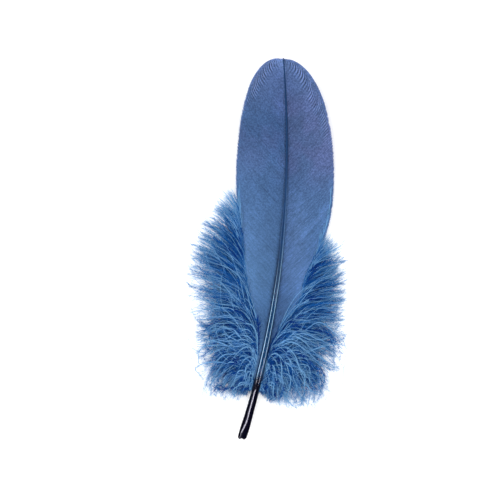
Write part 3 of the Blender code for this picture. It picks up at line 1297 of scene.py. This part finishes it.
@dataclass(frozen=True)
class DownTuft:
    """The loose barbs at the foot of one vane: strands that run out of the web, with barbules.

    The outline is in mm (x, y). The other knots are by place in the tuft, from 0 at the foot to 1
    at the top: angles in degrees, advance as a share of the outline, heights in mm. Holds and tails
    say how long a strand keeps the direction it starts in and comes round to its last one.
    Foot_reach is the share of its reach that a strand at the foot keeps. A pair named spread or
    swing is what chance does to a stiff strand and to a loose one. Waves are (pace, height) by
    place in the tuft, locks the number of locks along it and through it, and sways the paces of
    the slow wave along a strand, by y, off and z. Palest holds the tones below the map's end.
    """

    flow: BarbFlow
    seed: int
    outline: Knots
    span: Range
    stray_span: Range
    start_angles: Knots
    end_angles: Knots
    advance: Knots
    foot_reach: float
    kinds: tuple[StrandKind, ...] = (*STRAND_KINDS, STRAYS)
    barbule: BarbuleForm = BarbuleForm()
    stations: int = 14
    barbules: int = 68000
    slack: float = 1.3
    tuck: float = 1.4 * MM
    tuck_run: float = 10 * MM
    loose_part: Range = (0.75, 0.1)
    foot_part: Range = (0.3, 0.0)
    goal_spread: Range = (0.004, 0.084)
    reach_waves: Knots = ((27, 0.05), (71, 0.04))
    locks: Range = (9, 0.5)
    start_spread: Range = (1.5, 20.5)
    start_lock: float = 4.0
    start_limits: Range = (10, 110)
    leaps: Range = (4 * MM, 9 * MM)
    end_spread: Range = (3, 41)
    end_lock: float = 12.0
    end_rise: float = -160.0
    holds: Knots = ((0, 0.75), (0.3, 0.6), (0.5, 0.45), (1, 0.4))
    tails: Knots = ((0, 0.5), (0.3, 0.42), (0.5, 0.33), (1, 0.3))
    loose_hold: float = 0.15
    swing: Range = (0.2 * MM, 1.6 * MM)
    swing_span: float = 20 * MM
    swing_limits: Range = (0.2, 1.2)
    swing_power: float = 1.3
    sways: tuple[float, float, float] = (9, 7, 8)
    crests: Knots = ((0, 5), (0.3, 8.5), (0.65, 8), (1, 6))
    layer_heights: Range = (0.12, 0.94)
    fall: float = 0.75
    rise_run: Range = (0, 0.45)
    flutter: float = 0.35 * MM
    shades: Knots = ((0, -0.2), (0.25, -0.22), (0.5, -0.15), (0.7, -0.06), (1, -0.02))
    # painted light and shade: how much paler a strand is for lying higher in the tuft
    layer_tone: float = 0.2
    chance_tone: float = 0.22
    palest: float = 0.95
    top_fuzz: float = 0.6
    bare: Ease = (0.72, 0.93, 1.0, 0.08)
    strand_tip: float = 0.35
    strand_corners: tuple[float, ...] = (90, 210, 330)
    strand_tones: Range = (0.1, 1.0)
    skip: Ease = (0.55, 0.3, 0.0, 0.3)

    def outer(self, share: Array) -> Array:
        """Places (y, off) on the tuft's outer outline, at shares of its length.

        Args:
            share: shares of the outline's length, from the foot.

        Returns:
            The places.
        """
        points = np.array(self.outline, float)
        chords = np.hypot(*np.diff(points, axis=0).T)
        travelled = np.concatenate([[0], np.cumsum(chords)]) / chords.sum()
        x, y = (smooth_through(tuple(zip(travelled, values)), share) * MM for values in points.T)
        return np.stack([y, self.flow.vane.side.value * (x - self.flow.vane.form.centre(y))], axis=-1)

    def strands(self, rng: Chance) -> Strands:
        """Lay out the strands.

        A strand is a cubic Bezier curve from the edge of the web to near the tuft's outline. It
        starts in the barb's direction and ends in the direction of its curl. Both directions sway
        together from one lock of down to the next, and a slow wave is added that grows along the
        strand. Strays grow at the margin past the tuft's top and only leap a little way.

        Args:
            rng: the source of chance.

        Returns:
            The strands.
        """
        which = np.repeat(np.arange(len(self.kinds)), [kind.count for kind in self.kinds])
        rank = [(np.arange(kind.count) + rng.random(kind.count)) / kind.count for kind in self.kinds]
        rank = np.concatenate(rank)
        keys = ("shares", "layers", "reach", "loose", "radius", "tone", "fuzz", "rise")
        shares, layers, reaches, loose, radius, tone, fuzz, rise = (
            np.array([getattr(kind, key) for kind in self.kinds])[which].T for key in keys
        )
        stray = which == self.kinds.index(STRAYS)
        share = between(shares, rank)
        loose = loose * (self.slack - share)
        root = self._roots(np.where(stray, between(self.stray_span, rank), between(self.span, share)))
        layer = rng.uniform(layers[0], layers[1] + TINY)
        spread = rng.standard_normal((4, len(which)))
        goal = share + smooth_through(self.advance, share) + rise
        goal = goal + between(self.goal_spread, loose) * spread[0]
        reach = rng.uniform(reaches[0], reaches[1] + TINY) * self._reach(share)
        end = root + (self.outer(np.clip(goal, 0, 1)) - root) * reach[:, None]
        lock = 2 * math.pi * (self.locks[0] * share + self.locks[1] * layer) + self.seed
        lock = smooth_step(self.loose_part, share) * np.sin(lock)
        start = smooth_through(self.start_angles, share) + self.start_lock * lock
        start = start + between(self.start_spread, loose) * spread[1]
        start = np.radians(np.clip(start, np.where(stray, 0, self.start_limits[0]), self.start_limits[1]))
        leap = between(self.leaps, rng.random(len(which)))[:, None]
        end = np.where(stray[:, None], root + leap * toward(start), end)
        span = np.hypot(*(end - root).T)
        curl = smooth_through(self.end_angles, share) + self.end_rise * rise
        curl = np.radians(curl + between(self.end_spread, loose) * spread[2] + self.end_lock * lock)
        hold, tail = (
            ((smooth_through(knots, share) + self.loose_hold * np.clip(loose, 0, 1)) * span)[:, None]
            for knots in (self.holds, self.tails)
        )
        corners = np.stack([root, root + hold * toward(start), end - tail * toward(curl), end])
        paths = self._paths(corners, span, loose, layer, share, rng)
        # painted light and shade: strands lying higher in the tuft are paler, lower ones darker
        tone = tone + self.layer_tone * layer + smooth_through(self.shades, share)
        return Strands(
            paths=paths,
            share=share,
            loose=loose,
            radius=radius * MM,
            tone=np.clip(tone + self.chance_tone * spread[3], 0, self.palest),
            fuzz=fuzz * span * between((1, self.top_fuzz), share) * eased(self.bare, share),
        )

    def _roots(self, y: Array) -> Array:
        """Where strands start (y, off): beside the quill, or tucked under the edge of the web.

        Args:
            y: distances from the quill's end.

        Returns:
            The places.
        """
        vane = self.flow.vane
        beside = np.where(y > vane.foot, vane.half_width(y), vane.form.width(y) / 2)
        off = beside - self.tuck * smooth_step((vane.foot, vane.foot + self.tuck_run), y)
        return np.stack([y, off], axis=-1)

    def _reach(self, share: Array) -> Array:
        """How far strands get, as a share of the outline: uneven in two waves, short at the foot.

        Args:
            share: where in the tuft the strands grow.

        Returns:
            The factors of their reach.
        """
        (slow, wide), (fast, fine) = self.reach_waves
        waves = wide * smooth_step(self.loose_part, share) * np.sin(slow * share + self.seed)
        waves = waves + fine * np.sin(fast * share)
        return (1 + waves) * eased((*self.foot_part, 1, self.foot_reach), share)

    def _paths(
        self, corners: Array, span: Array, loose: Array, layer: Array, share: Array, rng: Chance
    ) -> Array:
        """Draw the strands' curves, let them sway and arch them over the ground.

        Args:
            corners: the four Bezier points of each strand, [point, strand, (y, off)].
            span: how far it is from the first to the last.
            loose: how loose the strands are.
            layer: how high in the tuft they lie, from 0 to 1.
            share: where in the tuft they grow.
            rng: the source of chance.

        Returns:
            The paths, [strand, station, (y, off, z)].
        """
        t = np.linspace(0, 1, self.stations)
        blend = np.stack([(1 - t) ** 3, 3 * t * (1 - t) ** 2, 3 * t**2 * (1 - t), t**3])
        y, off = corners.transpose(2, 1, 0) @ blend
        phase = 2 * math.pi * rng.random((2, len(span), 1))
        swing = between(self.swing, loose) * np.clip(span / self.swing_span, *self.swing_limits)
        swing = swing[:, None] * t**self.swing_power
        y = y + swing * np.sin(phase[0] + t * self.sways[0])
        off = off + swing * np.cos(phase[1] + t * self.sways[1])
        crest = smooth_through(self.crests, share) * MM * between(self.layer_heights, layer)
        arch = crest[:, None] * (1 - self.fall * t**2)
        ground = self.flow.vane.surface(*corners[0].T)[:, None]
        z = ground + (arch - ground) * smooth_step(self.rise_run, t)
        z = z + self.flutter * np.sin(phase[0] + t * self.sways[2]) * t
        return np.stack([y, off, z], axis=-1)

    def build(self, name: str, finish: Material) -> list[Object]:
        """Make the tuft as a piece of strands and two pieces of barbules.

        Args:
            name: the start of the pieces' names.
            finish: the fluff's material.

        Returns:
            The pieces.
        """
        rng = np.random.default_rng(self.seed)
        strands = self.strands(rng)
        vane = self.flow.vane
        lines = gathered(vane.form.place(vane.side, *np.moveaxis(strands.paths, -1, 0)))
        made = [piece(f"{name}_strands", self._strand_skin(strands, lines), finish, outward=-1)]
        owners = rng.choice(len(strands.share), self.barbules, p=strands.fuzz / strands.fuzz.sum())
        for part, owner in zip(("near", "far"), np.array_split(owners, 2)):
            made.append(piece(f"{name}_{part}", self._barbule_skin(strands, lines, owner, rng), finish))
        return made

    def _skipped(self, share: Array) -> Array:
        """How much of the map's start, where the finish is pale, the strands near the foot skip."""
        return eased(self.skip, share)

    def _strand_skin(self, strands: Strands, lines: Array) -> Skin:
        """Skin the strands as three-sided tubes that taper to their ends.

        Args:
            strands: the strands.
            lines: their paths in the frame.

        Returns:
            The strands' skin.
        """
        t = np.linspace(0, 1, self.stations)
        radius = (strands.radius[:, None] * between((1, self.strand_tip), t))[..., None]
        ahead = unit(np.gradient(lines, axis=1))
        aside = unit(np.cross(ahead, UP))
        above = np.cross(aside, ahead)
        turns = np.radians(self.strand_corners)
        rings = [lines + radius * (aside * math.cos(turn) + above * math.sin(turn)) for turn in turns]
        sections = np.stack(rings, axis=2)
        tone = between(self.strand_tones, strands.tone)[:, None, None] + MAP_STEP * np.arange(3)
        skip = self._skipped(strands.share)[:, None, None]
        chart = np.stack(np.broadcast_arrays(between((skip, 1), t[None, :, None]), tone), axis=-1)
        return tubes(limited(sections), chart, chart)

    def _barbule_skin(self, strands: Strands, lines: Array, owner: Array, rng: Chance) -> Skin:
        """Set barbules along the strands, on both sides, leaning forward.

        A barbule starts on its strand and points along cos(lean) of the strand's direction and
        sin(lean) of the side's, a little up or down. They thin out towards the strand's end.

        Args:
            strands: the strands.
            lines: their paths in the frame.
            owner: which strand each barbule is on.
            rng: the source of chance.

        Returns:
            The barbules' skin.
        """
        form = self.barbule
        count = len(owner)
        share, loose, shade = strands.share[owner], strands.loose[owner], strands.tone[owner]
        s = between((1, form.least_place), rng.random(count) ** form.crowding)
        low, part = cell(s * (self.stations - 1), self.stations)
        before, after = lines[owner, low], lines[owner, low + 1]
        foot = between((before, after), part)
        ahead = unit(after - before)
        aside = unit(np.cross(ahead, UP))
        hand = np.where(rng.random(count) < 0.5, -1.0, 1.0)[:, None]
        lean = smooth_through(form.angles, share) + form.loose_lean * np.clip(loose, 0, 1)
        lean = np.radians(lean + form.chance_lean * rng.standard_normal(count))[:, None]
        lift = (form.chance_lift * rng.standard_normal(count) + form.lift)[:, None]
        way = ahead * np.cos(lean) + unit(aside * hand + UP * lift) * np.sin(lean)
        length = smooth_through(form.lengths, share) * between(form.sizes, rng.random(count)) * MM
        length = length * eased(form.foot, s) * eased(form.end, s)
        flat = unit(np.cross(way, UP))
        half = (between(form.widths, shade) * between((1, form.end_width), s))[:, None] * MM
        feet = [foot + flat * half, foot - flat * half, foot + np.cross(flat, way) * half]
        own, by_chance, constant = form.tones
        tone = np.clip(own * shade + by_chance * rng.random(count) ** 2 + constant, 0, self.palest)
        tone = tone[:, None] + MAP_STEP * np.arange(4)
        start = np.maximum(s, self._skipped(share))[:, None] * form.map_run
        chart = np.stack([start + np.array([0, MAP_STEP, 0, form.map_point]), tone], axis=-1)
        return spikes(limited(np.stack(feet, axis=1)), limited(foot + way * length[:, None]), chart)


def gathered(points: Array, slope: float = 3 * MM, give: float = 2.6 * MM) -> Array:
    """Draw in the points that come near the sides of the CAD model's box.

    A point that is d past the line slope in from the side moves to give * (1 - exp(-d / give)) past it.

    Args:
        points: the points.
        slope: how far in from the side it begins.
        give: the furthest that a point gets past that line.

    Returns:
        The points, with none of them near the side.
    """
    line = CAD_BOX[1].x - slope
    across = np.abs(points[..., 0])
    past = np.maximum(across - line, 0)
    across = np.minimum(across, line) + give * (1 - np.exp(-past / give))
    return np.concatenate([(np.sign(points[..., 0]) * across)[..., None], points[..., 1:]], axis=-1)


def limited(points: Array) -> Array:
    """Keep points just inside the CAD model's box, so that no wisp reaches past it."""
    inset = 0.05 * MM
    return np.clip(points, np.array(CAD_BOX[0]) + inset, np.array(CAD_BOX[1]) - inset)


# --- Studio ---


@dataclass(frozen=True)
class SoftBox:
    """A rectangular soft light that faces the feather, and what it lights."""

    name: str
    place: tuple[float, float, float]
    size: Range
    power: float
    glints: bool = False
    colour: Colour = (1.0, 1.0, 1.0)

    def build(self) -> None:
        """Hang the light; one that makes glints lights nothing else, so that the shade stays even."""
        lamp = bpy.data.lights.new(self.name, "AREA")
        lamp.shape = "RECTANGLE"
        lamp.size, lamp.size_y = self.size
        lamp.energy = self.power
        lamp.color = self.colour
        obj = shown(self.name, lamp)
        obj.location = self.place
        obj.rotation_euler = (-Vector(self.place)).to_track_quat("-Z", "Y").to_euler()
        obj.visible_glossy = self.glints
        obj.visible_diffuse = not self.glints


@dataclass(frozen=True)
class Studio:
    """The floor, the soft light and the camera, which looks straight down."""

    form: FeatherForm
    lean: float = math.radians(6.25)
    frame_width: float = 224.2 * MM
    lens: float = 100.0
    sensor: float = 36.0
    aim: Range = (-5.89 * MM, 88.42 * MM)
    daylight: float = 1.0
    floor_half: float = 3.0
    lights: tuple[SoftBox, ...] = (
        SoftBox("glint_strip", (-0.42, 0.0, 0.84), (0.04, 1.6), 6.0, True, (0.87, 0.84, 1.0)),
        SoftBox("key_light", (-0.42, 0.12, 0.6), (0.6, 0.9), 2.2),
        SoftBox("soft_fill", (0.4, -0.25, 0.7), (0.9, 0.9), 1.6),
    )

    def build(self) -> None:
        """Set up everything round the feather."""
        self._floor()
        self._world()
        for light in self.lights:
            light.build()
        self._camera()

    def _floor(self) -> None:
        """A wide pale floor at the feather's lowest point."""
        mesh = bpy.data.meshes.new("floor")
        half = self.floor_half
        corners = [(-half, -half, 0), (half, -half, 0), (half, half, 0), (-half, half, 0)]
        mesh.from_pydata(corners, [], [(0, 1, 2, 3)])
        mesh.materials.append(FloorFinish().material())
        floor = shown("floor", mesh)
        floor.visible_glossy = False

    def _world(self) -> None:
        """Even white light from all round, which glossy horn doesn't mirror."""
        world = bpy.data.worlds.new("studio")
        bpy.context.scene.world = world
        world.use_nodes = True
        light = world.node_tree.nodes["Background"]
        light.inputs["Color"].default_value = (1, 1, 1, 1)
        light.inputs["Strength"].default_value = self.daylight
        world.cycles_visibility.glossy = False
        bpy.context.scene.view_settings.view_transform = "Standard"

    def _camera(self) -> None:
        """A long lens straight above, rolled so that the feather leans as it was photographed."""
        data = bpy.data.cameras.new("camera")
        data.lens = self.lens
        data.sensor_width = self.sensor
        camera = shown("camera", data)
        height = self.frame_width * self.lens / self.sensor
        x, y = self.form.quill_x + self.aim[0], self.form.quill_y + self.aim[1]
        turn = Matrix.Rotation(self.lean, 4, "Z")
        camera.matrix_world = Matrix.Translation((x, y, height)) @ turn
        bpy.context.scene.camera = camera


# --- The feather ---


def vane_form(form: FeatherForm, side: Side) -> VaneForm:
    """One vane's outline and the run of its barbs.

    Args:
        form: the feather's form.
        side: which vane.

    Returns:
        The vane's form.
    """
    if side is Side.LEFT:
        widest = (118, 22.8)
        return VaneForm(
            form, side, widest, 2.15,
            half_widths=(
                (26, 2.3), (36, 3.9), (46, 5.9), (56, 10.2), (68, 14.2), (84, 18.0), (96, 20.4), widest,
            ),
            root_angles=((26, 50), (120, 47), (150, 42), (170, 30)),
            edge_angles=((26, 40), (118, 37), (142, 36), (150, 20), (156, -12), (162, -35), (170, -62)),
            turnings=((26, 9), (136, 9), (148, 5.5), (156, 4.4), (170, 4.2)),
            rim=0.6 * MM,
        )
    widest = (115, 21.5)
    return VaneForm(
        form, side, widest, 2.35,
        half_widths=(
            (26, 2.2), (34, 2.8), (44, 4.0), (51, 7.6), (60, 11.7), (74, 13.5), (83, 16.6), (96, 19.8),
            widest,
        ),
        root_angles=((26, 44), (110, 41), (145, 42), (170, 34)),
        edge_angles=((26, 30), (115, 31), (142, 36), (149, 15), (155, -30), (162, -55), (170, -70)),
        turnings=((26, 9), (138, 9), (148, 6.5), (156, 5.4), (170, 4.6)),
        rim=0.9 * MM,
    )


def vane(flow: BarbFlow) -> Vane:
    """One vane, with its own ripples and marks.

    Args:
        flow: how the vane's barbs run.

    Returns:
        The vane, ready to build.
    """
    if flow.vane.side is Side.LEFT:
        # painted shade along two creases in the left vane
        crease_shade = Mark(103.4, 0.35, 0.08, 0.5, -0.3)
        second = Mark(106.5, 0.3, 0.3, 0.7, -0.15)
        bright_tip = Mark(166, 4.5, 0.0, 1.0, 0.2)
        return Vane(flow, 5, (141, 157), (0.6, 2.0, 6.5), (crease_shade, second, bright_tip))
    band = Mark(83.5, 1.6, 0.15, 1.0, 0.22)
    shadow = Mark(81.2, 0.7, 0.3, 1.0, -0.17)
    dull_tip = Mark(165, 4.0, 0.0, 0.7, -0.16)
    return Vane(flow, 8, (116, 156), (1.1, 3.0, 8.5), (band, shadow, dull_tip))


def web_finish(side: Side) -> WebFinish:
    """The dye of one vane.

    Args:
        side: which vane.

    Returns:
        The web's finish.
    """
    if side is Side.LEFT:
        return WebFinish(
            "web_left",
            (
                (0.08, (0.1, 0.232, 0.475)), (0.22, (0.098, 0.224, 0.46)), (0.35, (0.11, 0.24, 0.467)),
                (0.46, (0.104, 0.22, 0.44)), (0.65, (0.092, 0.193, 0.405)), (0.77, (0.068, 0.147, 0.33)),
                (0.97, (0.112, 0.186, 0.395)),
            ),
            violet_share=0.25,
            inner_light=0.13,
        )
    return WebFinish(
        "web_right",
        (
            (0.08, (0.08, 0.186, 0.418)), (0.35, (0.1, 0.214, 0.45)), (0.5, (0.096, 0.204, 0.425)),
            (0.8, (0.098, 0.165, 0.35)), (0.97, (0.112, 0.19, 0.41)),
        ),
        # painted light beside the shaft on the right vane
        beside=(0.17, 0.3, 0.57),
        painted_light_share=0.45,
        painted_light_reach=(0.2, 0.66),
        painted_light_band=(0.28, 0.4, 0.52, 0.65),
        streak=0.15,
    )


def down_tuft(flow: BarbFlow) -> DownTuft:
    """One tuft of down; the foot of either curls back in the same way.

    Args:
        flow: how the barbs of the vane above the tuft run.

    Returns:
        The tuft, ready to build.
    """
    curled = ((0, 190), (0.1, 168), (0.2, 112))
    if flow.vane.side is Side.LEFT:
        return DownTuft(
            flow, 11,
            outline=(
                (1.2, 22), (-3, 17.5), (-10, 15), (-18, 17.5), (-23.5, 27.5), (-28, 40), (-32, 55),
                (-33.5, 70), (-33, 84), (-29.5, 93), (-25, 101), (-19, 107.5), (-16.2, 109),
            ),
            span=(22 * MM, 99 * MM),
            stray_span=(94 * MM, 107 * MM),
            start_angles=((0, 75), (0.15, 50), (0.3, 37), (0.45, 29), (0.65, 25), (0.85, 20), (1, 16)),
            end_angles=(*curled, (0.3, 82), (0.45, 70), (0.65, 68), (0.85, 60), (1, 48)),
            advance=(
                (0, -0.02), (0.1, 0.05), (0.2, 0.2), (0.3, 0.26), (0.45, 0.24), (0.6, 0.18), (0.8, 0.13),
                (1, 0),
            ),
            foot_reach=0.9,
        )
    return DownTuft(
        flow, 12,
        outline=(
            (5.6, 22), (9, 19), (16, 16.8), (25, 16.3), (34, 19.5), (40.5, 28), (42.6, 42), (42.2, 54),
            (40.2, 66), (39.4, 77), (37, 86), (31.5, 92), (25.5, 96),
        ),
        span=(22 * MM, 89 * MM),
        stray_span=(80 * MM, 113 * MM),
        start_angles=((0, 66), (0.2, 36), (0.6, 22), (0.85, 14), (1, 8)),
        end_angles=(*curled, (0.3, 80), (0.5, 62), (0.8, 43), (1, 20)),
        advance=((0, -0.02), (0.1, 0.06), (0.2, 0.22), (0.3, 0.27), (0.5, 0.2), (0.8, 0.11), (1, 0)),
        foot_reach=1.02,
    )


def settle(obj: Object, node: str) -> None:
    """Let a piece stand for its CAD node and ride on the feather's one body.

    Args:
        obj: the piece.
        node: the CAD node.
    """
    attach(obj, "root")
    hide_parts(node)
    LOG.info("%s: %d triangles", obj.name, triangles(obj))


def main() -> None:
    """Build the studio, then the feather from the shaft outwards."""
    form = FeatherForm.from_frame()
    Studio(form).build()
    settle(Shaft(form).build(HornFinish().material()), "shaft")
    fluff = FluffFinish().material()
    for side in Side:
        label = side.name.lower()
        flow = BarbFlow(vane_form(form, side))
        web = web_finish(side).material()
        settle(vane(flow).build(f"{label}_web", web), f"{label}_vane")
        for part in down_tuft(flow).build(f"{label}_fluff", fluff):
            settle(part, f"{label}_down")


if __name__ == "__main__":
    main()
